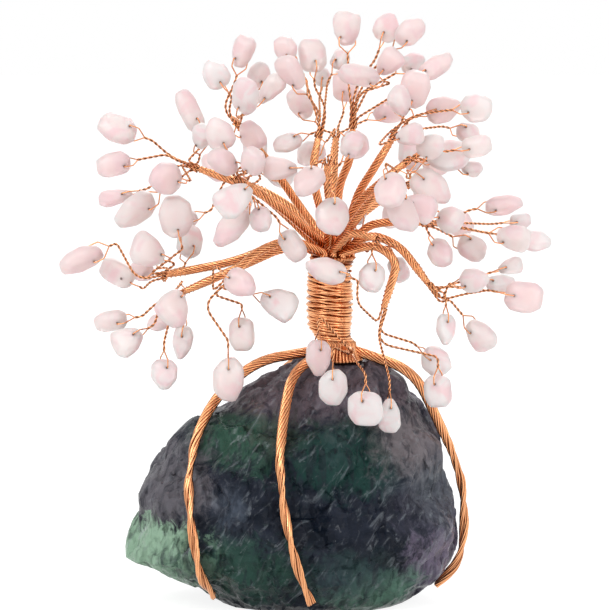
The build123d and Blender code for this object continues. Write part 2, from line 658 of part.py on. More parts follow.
def winding():
    """Binding wire round the trunk's waist: even turns with straight ends."""
    radius = 0.5 * CORE_WAIST + WIND_GAP + 0.5 * WIND_WIRE
    pitch = WIND_WIRE + TURN_GAP
    base = 0.5 * (WAIST + NECK) - UP * 0.5 * TURNS * pitch
    slope = pitch / (2.0 * math.pi * radius)

    def at(turn):
        angle = 2.0 * math.pi * turn
        place = base + np.array([radius * math.cos(angle), radius * math.sin(angle), pitch * turn])
        return place, unit(np.array([-math.sin(angle), math.cos(angle), slope]))

    edges = []
    start, heading = at(0.0)
    edges.append(Edge.make_line(Vector(*(start - heading * WIND_WIRE)), Vector(*start)))
    for k in range(4 * TURNS):
        p0, t0 = at(k / 4.0)
        p1, t1 = at((k + 1) / 4.0)
        v = p1 - p0
        both = t0 + t1
        square = 2.0 * (1.0 - np.dot(t0, t1))
        reach = (math.sqrt(np.dot(v, both) ** 2 + square * np.dot(v, v)) - np.dot(v, both)) / square
        middle = 0.5 * (p0 + reach * t0 + p1 - reach * t1)
        way = unit(p1 - reach * t1 - p0 - reach * t0)
        edges.append(Edge.make_tangent_arc(Vector(*p0), Vector(*t0), Vector(*middle)))
        edges.append(Edge.make_tangent_arc(Vector(*middle), Vector(*way), Vector(*p1)))
    last, heading = at(float(TURNS))
    edges.append(Edge.make_line(Vector(*last), Vector(*(last + heading * WIND_WIRE))))
    path = Wire(edges)
    count = TURNS * TURN_POINTS
    points = np.array([tuple(path @ (k / count)) for k in range(count + 1)])
    apart = np.linalg.norm(points[:, None] - points[None, :], axis=2)
    order = np.arange(count + 1)
    other = np.abs(order[:, None] - order[None, :]) > TURN_POINTS // 2
    print("winding: least gap to itself, mm", round(float(apart[other].min()) - WIND_WIRE, 3))
    section = Plane(origin=path @ 0, z_dir=path % 0) * RegularPolygon(0.5 * WIND_WIRE, WIND_SIDES)
    return sweep(section, path=path)


def core_solid():
    """Gathered trunk wires as one plain core."""
    rings = []
    for middle, width in ((FOOT, CORE_FOOT), (WAIST, CORE_WAIST), (NECK, CORE_WAIST), (TOP, CORE_TOP)):
        ring = []
        for k in range(CORE_SIDES):
            angle = 2.0 * math.pi * k / CORE_SIDES
            ring.append(middle + 0.5 * width * np.array([math.cos(angle), math.sin(angle), 0.0]))
        rings.append(ring)
    return facets(rings)


def rock_solid(rings, triangles):
    """Rough block on a flat underside."""
    faces = [Face(polygon(corners)) for corners in triangles]
    return Solid(Shell(faces + [Face(polygon(rings[0])), Face(polygon(rings[-1]))]))


chips = plan_chips()
settle_chips(chips)
ropes = plan_ropes(chips)
low_seat = foot_seat(LOW_SEAT_DEG)
ropes[LOW_TWIG] = [low_seat, low_seat - UP * FIRST_LEAD] + [spot(*point) for point in TWIGS[LOW_TWIG][0]]
short = plan_stems(chips, ropes)
print("chips", len(chips), "stems with little room", short)

rings = rock_rings()
triangles = rock_triangles(rings)
nodes = {"rock_base": [rock_solid(rings, triangles)]}
nodes["trunk_core"] = [core_solid()]
nodes["trunk_winding"] = [winding()]
for name, (seat_deg, side, way) in ROOTS.items():
    nodes[name] = [bar(root_route(triangles, seat_deg, side, way), ROOT, ROPE_SIDES, UP)]
for name, route in ropes.items():
    nodes[name + "_twigs"] = [bar(route, ROPE, ROPE_SIDES, UP)]
for chip in chips:
    nodes[chip["twig"] + "_twigs"] += [bar(chip["stem"], STEM, STEM_SIDES), eye_wire(chip)]
    nodes.setdefault(chip["name"] or chip["twig"] + "_chips", []).append(chip_solid(chip))

os.makedirs("parts", exist_ok=True)
for name, solids in nodes.items():
    export_step(Compound(solids), f"parts/{name}.step")
print("nodes", len(nodes))
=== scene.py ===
import json
import math
import random

import bmesh
import bpy
import numpy as np
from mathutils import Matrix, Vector, noise


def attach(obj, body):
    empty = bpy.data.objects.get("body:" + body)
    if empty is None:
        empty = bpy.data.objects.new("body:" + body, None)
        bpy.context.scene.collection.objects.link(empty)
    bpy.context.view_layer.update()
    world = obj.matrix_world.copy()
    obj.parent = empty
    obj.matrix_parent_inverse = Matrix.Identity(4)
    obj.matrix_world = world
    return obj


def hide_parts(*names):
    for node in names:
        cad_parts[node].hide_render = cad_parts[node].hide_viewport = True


# Gemstone tree ornament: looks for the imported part. Lengths are in metres.
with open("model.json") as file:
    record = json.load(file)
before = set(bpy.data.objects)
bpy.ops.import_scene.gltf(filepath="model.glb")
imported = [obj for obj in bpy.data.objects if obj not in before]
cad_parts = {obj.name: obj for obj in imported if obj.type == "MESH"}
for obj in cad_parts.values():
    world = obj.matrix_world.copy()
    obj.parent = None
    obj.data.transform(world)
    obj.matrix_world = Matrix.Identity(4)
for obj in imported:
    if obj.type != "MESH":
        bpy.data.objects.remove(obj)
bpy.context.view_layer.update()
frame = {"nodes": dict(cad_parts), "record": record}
NODES = frame["nodes"]
RECORD = frame["record"]
MM = 0.001
WELD = 1e-6

# Number of sides of the CAD's bars for a pair and for a rope
PAIR_SIDES = 5
ROPE_SIDES = 7

# Wire: pairs and eyes, ropes, the turns at a rope's tip, and roots
WIRE_R = 0.16 * MM
WIRE_SIDES = 6
STEP = 0.26 * MM
PAIR_PITCH = 2.5 * MM
ROPE_R = 1.0 * MM
ROPE_STRANDS = 8
ROPE_PITCH = 8.5 * MM
ROPE_STRAND_R = 0.27 * MM
ROPE_TAPER = 6.0 * MM
ROPE_THINNING = 0.45
ROPE_TONES = [0.9, 1.0, 0.75, 0.95]
KNOT_LONG = 5.0 * MM
KNOT_PITCH = 2.2 * MM
KNOT_TONES = [1.0, 0.85]
ROOT_R = 1.2 * MM
ROOT_STRANDS = 10
ROOT_PITCH = 17.0 * MM
ROOT_STRAND_R = 0.31 * MM
EYE_LIFT = 0.16 * MM
EYE_BEND = 0.16

# Tones of wire, 0 for dark and 1 for bright: the filling of a cable and of the trunk, kept dark as painted
# shade between the wires, the flank of a strand, and how much brighter its outer side is, which paints shade
# on the inner side where strands press together
FILL_SHADE_TONE = 0.05
CORE_SHADE_TONE = 0.1
FLANK_TONE, OUTER_TONE = 0.42, 0.80

# Parting of a root: its start and extent as shares of the root's length. Then in millimetres the radius of
# the filling above and below it, how far bundles lie from the root's middle and strands from a bundle's
PARTING_START, PARTING_LONG = 0.45, 0.2
ROOT_FILL_R, LOOSE_FILL_R = 0.85, 0.3
BUNDLE_ORBIT, STRAND_ORBIT = 0.52, 0.36
BUNDLE_PITCH = 1.3 * ROOT_PITCH

# Trunk: its wires, their twist in radians for each metre, and how they splay out below its core
CORE_WIRES = 40
CORE_WIRE_R = 0.36 * MM
CORE_WIRE_INSET = 0.3 * MM
CORE_FILL_INSET = 0.35 * MM
CORE_TWIST = 14.0
FOOT_DROP = 4.0 * MM
FOOT_FLARE = 1.6 * MM
FOOT_FILL_INSET = 0.5 * MM

# Binding: radius of its wire, lengths of core left bare below and above, then its wander, bulge and clearance
# in millimetres, and the points of one turn
BIND_R = 0.31 * MM
BARE_BELOW, BARE_ABOVE = 0.6 * MM, 1.6 * MM
BIND_WANDER, BIND_BULGE, BIND_CLEAR = 0.16, 0.5, 0.02
TURN_POINTS = 26

# Layers of binding wire: turns, first and last level as shares, lift off the core and lean in millimetres
BINDINGS = [
    (29, 0.0, 1.0, 0.0, 0.5),
    (10, 0.28, 0.92, 0.50, 1.0),
    (8, 0.88, 0.20, 0.80, -0.4),
    (7, 0.10, 0.36, 0.52, 0.9),
    (5, 0.62, 0.88, 0.75, 1.4),
]

# Chips: rounds of softening, shares of the CAD size, swells by height in millimetres and scale, and the hole,
# whose two ends are drawn as dark stubs of painted shade
CHIP_SOFTENING = 2
CHIP_FILL = 0.98
CHIP_GROW = 1.07
CHIP_SWELLS = [(0.12, 260.0), (0.05, 900.0)]
OFF_HULL = 0.02 * MM
HOLE_R = 0.30 * MM
HOLE_DEPTHS = (1.2 * MM, 0.5 * MM, 0.02 * MM)
HOLE_SHADE_TONE = -1.0

# Facets of the block: width, height and slope of the large and small ones, in millimetres, the sharpness of
# their edges, and where the three parts of a tilt are read
LARGE_FACETS = (8.5, 11.0, 0.60)
SMALL_FACETS = (3.0, 4.2, 0.32)
EDGE_WEAR = 14.0
TILT_SHIFTS = (Vector((0.0, 0.0, 0.0)), Vector((31.7, 0.0, 0.0)), Vector((0.0, 47.3, 0.0)))

# Surface of the block, in millimetres: how deep it sits, its grain, its least and greatest push, the height
# of its flat foot and that over which the facets fade in. Edges are sharp from the angle given last
ROCK_SINK, ROCK_GRAIN = 0.2, 0.10
LEAST_PUSH, GREATEST_PUSH = -1.1, 0.5
FLAT_HEIGHT, FLAT_FADE = 0.4, 2.5
SHARP_FROM = math.radians(24.0)

# Colours
COPPER_BRIGHT = (0.96, 0.46, 0.22, 1)
# darkest copper: painted shade in grooves and between wires, and also tarnish and darker strands
COPPER_DARK = (0.16, 0.028, 0.006, 1)
COPPER_ROUGH = 0.14
QUARTZ_PINK = (0.98, 0.76, 0.75, 1)
QUARTZ_PALE = (0.98, 0.84, 0.82, 1)
QUARTZ_CLEAR = (0.94, 0.87, 0.86, 1)
QUARTZ_CLOUD = (0.95, 0.70, 0.72, 1)
QUARTZ_MILK = (0.97, 0.92, 0.91, 1)
# ends of the hole: painted shade of the drilled recess
QUARTZ_HOLE_SHADE = (0.42, 0.24, 0.22, 1)
FLUORITE_SHADOW = (0.012, 0.014, 0.022, 1)
# pale veins: their own colour and painted sheen where the coat is strongest
FLUORITE_VEIN_AND_SHEEN = (0.22, 0.26, 0.30, 1)
FLUORITE_SCRATCH = (0.45, 0.47, 0.50, 1)

# The block: how ragged its patches are, its two dark tones, then the patches by middle and reach in
# millimetres, softness of the edge, colour and strength
PATCH_RAGGED = 2.8
FLUORITE_DARK = (0.003, 0.006, 0.012, 1)
FLUORITE_SLATE = (0.014, 0.018, 0.030, 1)
FLUORITE_PATCHES = [
    ((2.0, -6.0, 54.0), (32.0, 26.0, 12.0), 0.35, (0.125, 0.100, 0.118, 1), 0.9),
    ((-14.0, -14.0, 39.0), (13.0, 14.0, 6.0), 0.4, (0.030, 0.078, 0.054, 1), 0.9),
    ((-5.0, -24.0, 44.0), (9.0, 9.0, 7.0), 0.5, (0.095, 0.070, 0.070, 1), 0.7),
    ((12.0, -20.0, 36.0), (16.0, 16.0, 8.0), 0.4, (0.008, 0.040, 0.032, 1), 0.85),
    ((-33.0, -8.0, 29.0), (14.0, 22.0, 11.0), 0.3, (0.125, 0.118, 0.135, 1), 0.9),
    ((-33.0, -10.0, 11.0), (16.0, 24.0, 9.5), 0.14, (0.280, 0.430, 0.310, 1), 0.95),
    ((-14.0, -20.0, 10.0), (15.0, 14.0, 8.0), 0.45, (0.022, 0.060, 0.046, 1), 0.85),
    ((34.0, -4.0, 30.0), (12.0, 22.0, 18.0), 0.6, (0.080, 0.074, 0.110, 1), 0.7),
    ((33.0, -8.0, 10.0), (11.0, 18.0, 8.0), 0.35, (0.140, 0.115, 0.170, 1), 0.85),
    ((19.0, -20.0, 4.0), (11.0, 14.0, 6.0), 0.35, (0.085, 0.170, 0.125, 1), 0.85),
    ((8.0, -24.0, 39.0), (3.0, 9.0, 5.0), 0.7, (0.100, 0.130, 0.160, 1), 0.12),
    ((-16.0, -24.0, 24.0), (3.5, 9.0, 4.5), 0.7, (0.080, 0.100, 0.135, 1), 0.6),
    ((33.0, -12.0, 29.0), (7.0, 12.0, 8.0), 0.7, (0.140, 0.165, 0.175, 1), 0.55),
    ((26.0, -13.0, 39.0), (9.0, 14.0, 6.5), 0.6, (0.190, 0.165, 0.175, 1), 0.8),
    ((12.0, -24.0, 9.0), (9.0, 12.0, 5.0), 0.7, (0.032, 0.060, 0.062, 1), 0.8),
    ((-11.0, -18.0, 47.0), (3.0, 7.0, 2.5), 0.6, (0.085, 0.040, 0.028, 1), 0.75),
    ((15.0, -18.0, 46.0), (3.0, 7.0, 3.0), 0.6, (0.070, 0.042, 0.040, 1), 0.6),
    ((-8.0, 24.0, 23.0), (26.0, 16.0, 8.0), 0.9, (0.030, 0.085, 0.066, 1), 0.8),
    ((22.0, 22.0, 24.0), (14.0, 14.0, 16.0), 0.4, (0.105, 0.088, 0.140, 1), 0.8),
]

# Photograph's view: length of a picture point, axis column, ground row, size and rise of the view
PER_PX = 0.232 * MM
AXIS_PX, GROUND_PX = 300, 600
WIDE_PX, TALL_PX = 609, 610
VIEW_RISE = math.radians(6.0)
LENS, SENSOR = 210.0, 36.0

# Light: strength of the surroundings, then for each lamp its place, aim, size and power
WORLD_STRENGTH = 0.80
FLOOR_WIDE = 3.0
FLOOR_GLOW = 0.86
LAMPS = {
    "key": ((-0.45, -0.55, 0.65), (0, 0, 0.07), 0.5, 2.8),
    "fill": ((0.6, -0.5, 0.30), (0, 0, 0.07), 0.6, 1.4),
    "back": ((0.1, 0.6, 0.6), (0, 0, 0.09), 0.5, 2.0),
}


def unit(vector):
    return vector / max(np.linalg.norm(vector), 1e-12)


# Reading the CAD frame


def welded(node):
    """Points and triangles of a node, with points at one place made one."""
    mesh = NODES[node].data
    flat = np.empty(len(mesh.vertices) * 3, dtype=np.float32)
    mesh.vertices.foreach_get("co", flat)
    loose = flat.reshape(-1, 3).astype(float)
    known, index, points = {}, [], []
    for key, place in zip(map(tuple, np.round(loose / WELD).astype(int)), loose):
        if key not in known:
            known[key] = len(points)
            points.append(place)
        index.append(known[key])
    mesh.calc_loop_triangles()
    return np.array(points), [[index[v] for v in t.vertices] for t in mesh.loop_triangles]


def joined(count, pairs):
    """Group number of each of a count of things, given the pairs that belong together."""
    owner = list(range(count))

    def find(k):
        while owner[k] != k:
            owner[k] = owner[owner[k]]
            k = owner[k]
        return k

    for a, b in pairs:
        owner[find(a)] = find(b)
    return [find(k) for k in range(count)]


def islands(node):
    """Separate solids of a node as points and triangles."""
    points, triangles = welded(node)
    owner = joined(len(points), [pair for a, b, c in triangles for pair in ((a, b), (b, c))])
    solids = {}
    for triangle in triangles:
        solids.setdefault(owner[triangle[0]], []).append(triangle)
    made = []
    for solid in solids.values():
        used = sorted({v for triangle in solid for v in triangle})
        place = {v: k for k, v in enumerate(used)}
        made.append((points[used], [[place[v] for v in triangle] for triangle in solid]))
    return made


def flat_faces(points, triangles):
    """Corners and area of each flat face of a solid."""
    crosses = [np.cross(points[b] - points[a], points[c] - points[a]) for a, b, c in triangles]
    normals = [unit(cross) for cross in crosses]
    beside, pairs = {}, []
    for k, (a, b, c) in enumerate(triangles):
        for edge in ((a, b), (b, c), (c, a)):
            other = beside.setdefault(frozenset(edge), k)
            if other != k and np.dot(normals[other], normals[k]) > 0.9999:
                pairs.append((other, k))
    faces = {}
    for k, owner in enumerate(joined(len(triangles), pairs)):
        corners, area = faces.get(owner, (set(), 0.0))
        faces[owner] = (corners | set(triangles[k]), area + 0.5 * np.linalg.norm(crosses[k]))
    return list(faces.values())


def bar_of(points, triangles):
    """Side count and middle line of a bar: the middles of its rings of points, from end to end.

    Its end faces have 7 or 5 corners, or else are the smallest of 4.
    """
    near = [set() for _ in points]
    for triangle in triangles:
        for v in triangle:
            near[v].update(triangle)
    faces = flat_faces(points, triangles)
    odd_first = [(1 - len(corners) % 2, area, sorted(corners)) for corners, area in faces]
    ring = set(min(odd_first)[2])
    sides, seen, route = len(ring), set(), []
    while ring:
        route.append(points[sorted(ring)].mean(axis=0))
        seen |= ring
        ring = {w for v in ring for w in near[v]} - seen
    return sides, np.array(route)


# Lines and tubes


def rounded(route, share=0.46, steps=7):
    """Route with each corner drawn as a soft bend, evenly stepped."""
    points = [route[0]]
    for before, corner, after in zip(route, route[1:], route[2:]):
        first, last = before - corner, after - corner
        cut = share * min(np.linalg.norm(first), np.linalg.norm(last))
        a, c = corner + unit(first) * cut, corner + unit(last) * cut
        for k in range(steps + 1):
            t = k / steps
            points.append(a * (1 - t) ** 2 + corner * 2 * t * (1 - t) + c * t * t)
    points.append(route[-1])
    return np.array(points)


def even(points, step):
    """Points at an even step along a line."""
    runs = np.linalg.norm(np.diff(points, axis=0), axis=1)
    along = np.concatenate([[0.0], np.cumsum(runs)])
    count = max(3, int(along[-1] / step))
    want = np.linspace(0.0, along[-1], count)
    return np.stack([np.interp(want, along, points[:, k]) for k in range(3)], axis=1), want


def carried_axes(points):
    """Two cross directions carried along a line without twist."""
    tangent = np.gradient(points, axis=0)
    tangent /= np.maximum(np.linalg.norm(tangent, axis=1, keepdims=True), 1e-12)
    lead = np.array([0.0, 0.0, 1.0]) if abs(tangent[0][2]) < 0.9 else np.array([1.0, 0.0, 0.0])
    first = unit(lead - tangent[0] * np.dot(lead, tangent[0]))
    rows = []
    for t in tangent:
        first = unit(first - t * np.dot(first, t))
        rows.append(first)
    first = np.array(rows)
    return first, np.cross(tangent, first)


class Shape:
    """Growing list of corners and faces for one piece."""

    def __init__(self):
        self.corners, self.faces, self.tones = [], [], []

    def add(self, corners, faces, tones):
        base = len(self.corners)
        self.corners.extend(map(tuple, corners))
        self.faces.extend([tuple(base + v for v in face) for face in faces])
        self.tones.extend(np.broadcast_to(tones, (len(corners),)).tolist())

    def tube(self, points, radius, sides, tone, outward=None):
        """Round wire; where an outward direction is given, its inner side is darkened as painted shade."""
        first, second = carried_axes(points)
        angles = np.arange(sides) * 2.0 * math.pi / sides
        radius = np.broadcast_to(np.asarray(radius, dtype=float), (len(points),))[:, None, None]
        across = first[:, None, :] * np.cos(angles)[None, :, None]
        ring = across + second[:, None, :] * np.sin(angles)[None, :, None]
        corners = (points[:, None, :] + ring * radius).reshape(-1, 3)
        # painted shade: the side of the wire that faces inward is darkened
        if outward is not None:
            facing = (ring * outward[:, None, :]).sum(-1)
            tone = tone * np.clip(FLANK_TONE + OUTER_TONE * facing, 0.0, 1.0).reshape(-1)
        faces = []
        for k in range(len(points) - 1):
            for j in range(sides):
                i = (j + 1) % sides
                faces.append((k * sides + j, k * sides + i, (k + 1) * sides + i, (k + 1) * sides + j))
        faces.append(tuple(reversed(range(sides))))
        faces.append(tuple((len(points) - 1) * sides + j for j in range(sides)))
        self.add(corners, faces, tone)

    def twist(self, points, along, count, orbit, radius, pitch, phase, tones):
        """Strands laid round a line, each with painted shade on its inner side."""
        first, second = carried_axes(points)
        for k in range(count):
            angle = phase + 2.0 * math.pi * (k / count + along / pitch)
            outward = first * np.cos(angle)[:, None] + second * np.sin(angle)[:, None]
            self.tube(points + outward * orbit, radius, WIRE_SIDES, tones[k % len(tones)], outward)

    def piece(self, name, node, body, material):
        """Visible piece that rides on a body in place of a node."""
        mesh = bpy.data.meshes.new(name)
        mesh.from_pydata(self.corners, [], self.faces)
        mesh.update()
        tone = mesh.attributes.new("tone", "FLOAT", "POINT")
        tone.data.foreach_set("value", self.tones)
        mesh.shade_smooth()
        mesh.materials.append(material)
        made = bpy.data.objects.new(name, mesh)
        bpy.context.scene.collection.objects.link(made)
        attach(made, body)
        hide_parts(node)
        return made


# Materials


def group(name, inputs, outputs):
    """Empty shader group with named sockets."""
    tree = bpy.data.node_groups.new(name, "ShaderNodeTree")
    for label, kind, default in inputs:
        socket = tree.interface.new_socket(label, in_out="INPUT", socket_type=kind)
        socket.default_value = default
    for label, kind in outputs:
        tree.interface.new_socket(label, in_out="OUTPUT", socket_type=kind)
    return tree, tree.nodes.new("NodeGroupInput"), tree.nodes.new("NodeGroupOutput")


def feed(tree, value, socket):
    """Link an output to a socket, or set the socket to a plain value."""
    if hasattr(value, "is_output"):
        tree.links.new(value, socket)
    else:
        socket.default_value = value


def noise_node(tree, vector, scale, detail, rough=0.55, distortion=0.0):
    node = tree.nodes.new("ShaderNodeTexNoise")
    node.inputs["Scale"].default_value = scale
    node.inputs["Detail"].default_value = detail
    node.inputs["Roughness"].default_value = rough
    node.inputs["Distortion"].default_value = distortion
    tree.links.new(vector, node.inputs["Vector"])
    return node


def ramp_node(tree, value, low, high, to_low=0.0, to_high=1.0):
    node = tree.nodes.new("ShaderNodeMapRange")
    node.interpolation_type = "SMOOTHSTEP"
    for label, number in (("From Min", low), ("From Max", high), ("To Min", to_low), ("To Max", to_high)):
        node.inputs[label].default_value = number
    tree.links.new(value, node.inputs["Value"])
    return node.outputs["Result"]


def mix_node(tree, factor, first, second):
    node = tree.nodes.new("ShaderNodeMix")
    node.data_type = "RGBA"
    sockets = (node.inputs[0], node.inputs[6], node.inputs[7])
    for value, socket in zip((factor, first, second), sockets):
        feed(tree, value, socket)
    return node.outputs[2]


def math_node(tree, kind, first, second):
    node = tree.nodes.new("ShaderNodeMath")
    node.operation = kind
    for value, socket in zip((first, second), node.inputs):
        feed(tree, value, socket)
    return node.outputs[0]


def fresh(name):
    material = bpy.data.materials.new(name)
    material.use_nodes = True
    tree = material.node_tree
    return material, tree, tree.nodes["Principled BSDF"]


def places(tree):
    return tree.nodes.new("ShaderNodeTexCoord").outputs["Object"]


def tone_of(tree):
    node = tree.nodes.new("ShaderNodeAttribute")
    node.attribute_name = "tone"
    return node.outputs["Fac"]


def bump(tree, shader, height, strength, distance, normal=None):
    node = tree.nodes.new("ShaderNodeBump")
    if normal is not None:
        tree.links.new(normal, node.inputs["Normal"])
    node.inputs["Strength"].default_value = strength
    node.inputs["Distance"].default_value = distance
    tree.links.new(height, node.inputs["Height"])
    tree.links.new(node.outputs["Normal"], shader.inputs["Normal"])


def vector_node(tree, kind, first, second=(0, 0, 0), output="Vector"):
    node = tree.nodes.new("ShaderNodeVectorMath")
    node.operation = kind
    for value, socket in zip((first, second), node.inputs):
        feed(tree, value, socket)
    return node.outputs[output]


def stretched(tree, place, scales):
    return vector_node(tree, "MULTIPLY", place, scales)


def turned(tree, place, angles, scales):
    """Place turned by angles in degrees and then stretched."""
    node = tree.nodes.new("ShaderNodeMapping")
    tree.links.new(place, node.inputs["Vector"])
    node.inputs["Rotation"].default_value = [math.radians(angle) for angle in angles]
    return stretched(tree, node.outputs["Vector"], scales)


def glassy_normal(tree, place, sizes):
    """Surface direction broken into small flat facets, one layer for each scale and tilt."""
    normal = tree.nodes.new("ShaderNodeNewGeometry").outputs["Normal"]
    for scale, tilt in sizes:
        cells = tree.nodes.new("ShaderNodeTexVoronoi")
        cells.inputs["Scale"].default_value = scale
        tree.links.new(place, cells.inputs["Vector"])
        lean = vector_node(tree, "SUBTRACT", cells.outputs["Color"], (0.5, 0.5, 0.5))
        normal = vector_node(tree, "ADD", normal, stretched(tree, lean, (tilt, tilt, tilt)))
    return vector_node(tree, "NORMALIZE", normal)


def patch_group():
    """Ragged patch: mask from a place, its middle, its reach each way and the softness of its edge."""
    tree, given, out = group("ragged patch", [
        ("Place", "NodeSocketVector", (0, 0, 0)), ("Middle", "NodeSocketVector", (0, 0, 0)),
        ("Reach", "NodeSocketVector", (0.01, 0.01, 0.01)), ("Ragged", "NodeSocketFloat", 0.6),
        ("Soft", "NodeSocketFloat", 0.4)], [("Mask", "NodeSocketFloat")])
    gap = vector_node(tree, "SUBTRACT", given.outputs["Place"], given.outputs["Middle"])
    gap = vector_node(tree, "DIVIDE", gap, given.outputs["Reach"])
    share = vector_node(tree, "LENGTH", gap, output="Value")
    wander = noise_node(tree, given.outputs["Place"], 190.0, 8.0, 0.70, 0.9)
    swing = math_node(tree, "SUBTRACT", wander.outputs["Fac"], 0.5)
    shift = math_node(tree, "MULTIPLY", swing, given.outputs["Ragged"])
    share = math_node(tree, "SUBTRACT", math_node(tree, "ADD", share, shift), 1.0)
    fall = math_node(tree, "DIVIDE", share, given.outputs["Soft"])
    tree.links.new(ramp_node(tree, fall, 1.0, -1.0), out.inputs["Mask"])
    return tree


def copper_material():
    """Bright drawn wire, with painted shade in its grooves and between wires, and small tarnished spots."""
    material, tree, shader = fresh("copper_wire")
    spots = noise_node(tree, places(tree), 900.0, 3.0)
    # tone runs from painted shade on inner sides and fillings, and from darker strands, up to bright copper
    tone = mix_node(tree, tone_of(tree), COPPER_DARK, COPPER_BRIGHT)
    tarnish = ramp_node(tree, spots.outputs["Fac"], 0.52, 0.78)
    stain = math_node(tree, "MULTIPLY", tarnish, 0.2)
    tree.links.new(mix_node(tree, stain, tone, COPPER_DARK), shader.inputs["Base Color"])
    dulling = math_node(tree, "MULTIPLY", tarnish, 0.18)
    tree.links.new(math_node(tree, "ADD", dulling, COPPER_ROUGH), shader.inputs["Roughness"])
    shader.inputs["Metallic"].default_value = 1.0
    return material


def quartz_material():
    """Frosted pink quartz, each chip with its own tone, milky clouds and faint cracks."""
    material, tree, shader = fresh("rose_quartz")
    place = places(tree)
    tone = tone_of(tree)
    cloud = noise_node(tree, place, 190.0, 3.0, 0.5, 0.8)
    cracks = noise_node(tree, stretched(tree, place, (1.0, 1.6, 0.7)), 420.0, 6.0, 0.7, 2.0)
    pale = mix_node(tree, ramp_node(tree, tone, 0.1, 0.5), QUARTZ_PINK, QUARTZ_PALE)
    pale = mix_node(tree, ramp_node(tree, tone, 0.6, 0.95), pale, QUARTZ_CLEAR)
    colour = mix_node(tree, ramp_node(tree, cloud.outputs["Fac"], 0.42, 0.70), pale, QUARTZ_CLOUD)
    milk = math_node(tree, "MULTIPLY", ramp_node(tree, cracks.outputs["Fac"], 0.60, 0.70), 0.35)
    colour = mix_node(tree, milk, colour, QUARTZ_MILK)
    # ends of the hole take a dark colour: painted shade of the drilled recess
    colour = mix_node(tree, math_node(tree, "LESS_THAN", tone, 0.0), colour, QUARTZ_HOLE_SHADE)
    tree.links.new(colour, shader.inputs["Base Color"])
    tree.links.new(ramp_node(tree, cloud.outputs["Fac"], 0.3, 0.7, 0.28, 0.48), shader.inputs["Roughness"])
    shader.inputs["IOR"].default_value = 1.54
    shader.inputs["Transmission Weight"].default_value = 0.32
    shader.inputs["Subsurface Weight"].default_value = 0.75
    shader.inputs["Subsurface Radius"].default_value = (1.0, 0.75, 0.75)
    shader.inputs["Subsurface Scale"].default_value = 3.0 * MM
    bump(tree, shader, cracks.outputs["Fac"], 0.12, 0.12 * MM)
    return material


def fluorite_material():
    """Dark banded fluorite: ragged patches of colour, upright cleavage streaks, pale veins with painted sheen
    and pale scratches.
    """
    material, tree, shader = fresh("fluorite")
    place = places(tree)
    patch = patch_group()
    grain = noise_node(tree, place, 420.0, 9.0, 0.72, 0.5)
    bands = noise_node(tree, stretched(tree, place, (0.6, 0.6, 1.6)), 70.0, 5.0, 0.6, 1.2)
    streaks = noise_node(tree, stretched(tree, place, (1.5, 1.5, 0.35)), 330.0, 6.0, 0.6, 0.7)
    veins = noise_node(tree, turned(tree, place, (15, 55, 20), (0.5, 0.8, 1.7)), 240.0, 5.0, 0.65, 1.5)
    colour = mix_node(tree, ramp_node(tree, bands.outputs["Fac"], 0.38, 0.62), FLUORITE_DARK, FLUORITE_SLATE)
    for middle, reach, soft, shade, amount in FLUORITE_PATCHES:
        node = tree.nodes.new("ShaderNodeGroup")
        node.node_tree = patch
        tree.links.new(place, node.inputs["Place"])
        node.inputs["Middle"].default_value = [value * MM for value in middle]
        node.inputs["Reach"].default_value = [value * MM for value in reach]
        node.inputs["Ragged"].default_value = PATCH_RAGGED
        node.inputs["Soft"].default_value = soft
        colour = mix_node(tree, math_node(tree, "MULTIPLY", node.outputs["Mask"], amount), colour, shade)
    shadow = math_node(tree, "MULTIPLY", ramp_node(tree, streaks.outputs["Fac"], 0.52, 0.36), 0.6)
    colour = mix_node(tree, shadow, colour, FLUORITE_SHADOW)
    # pale veins where the coat is strongest: partly their own colour, partly painted sheen
    light = math_node(tree, "MULTIPLY", ramp_node(tree, veins.outputs["Fac"], 0.55, 0.72), 0.30)
    colour = mix_node(tree, light, colour, FLUORITE_VEIN_AND_SHEEN)
    scratch = math_node(tree, "MULTIPLY", ramp_node(tree, grain.outputs["Fac"], 0.60, 0.72), 0.22)
    colour = mix_node(tree, scratch, colour, FLUORITE_SCRATCH)
    tree.links.new(colour, shader.inputs["Base Color"])
    tree.links.new(ramp_node(tree, grain.outputs["Fac"], 0.3, 0.7, 0.20, 0.48), shader.inputs["Roughness"])
    shader.inputs["IOR"].default_value = 1.43
    shader.inputs["Specular IOR Level"].default_value = 0.12
    tree.links.new(ramp_node(tree, veins.outputs["Fac"], 0.52, 0.68, 0.0, 0.45), shader.inputs["Coat Weight"])
    shader.inputs["Coat Roughness"].default_value = 0.12
    height = math_node(tree, "ADD", grain.outputs["Fac"], streaks.outputs["Fac"])
    shift = stretched(tree, grain.outputs["Color"], [1.2 * MM] * 3)
    bent = stretched(tree, vector_node(tree, "ADD", place, shift), (1.0, 1.0, 0.6))
    facets = glassy_normal(tree, bent, [(300.0, 0.7), (800.0, 0.8)])
    bump(tree, shader, height, 0.4, 0.5 * MM, facets)
    return material


COPPER = copper_material()
QUARTZ = quartz_material()
FLUORITE = fluorite_material()


# Pieces


def core_profile():
    """Middle and radius of the trunk's core at its levels."""
    points, _triangles = islands("trunk_core")[0]
    rows = []
    for level in sorted(set(np.round(points[:, 2], 5))):
        ring = points[np.abs(points[:, 2] - level) < 1e-5]
        middle = ring.mean(axis=0)
        rows.append((level, middle, np.linalg.norm(ring - middle, axis=1).mean()))
    return rows


def at_level(rows, level):
    """Middle and radius of the core at any level."""
    levels = [row[0] for row in rows]
    middle = np.array([np.interp(level, levels, [row[1][k] for row in rows]) for k in range(3)])
    return middle, np.interp(level, levels, [row[2] for row in rows])


def round_trunk(middle, reach, angle, level):
    return [middle[0] + reach * math.cos(angle), middle[1] + reach * math.sin(angle), level]


TRUNK_TOP = core_profile()[-1][1]


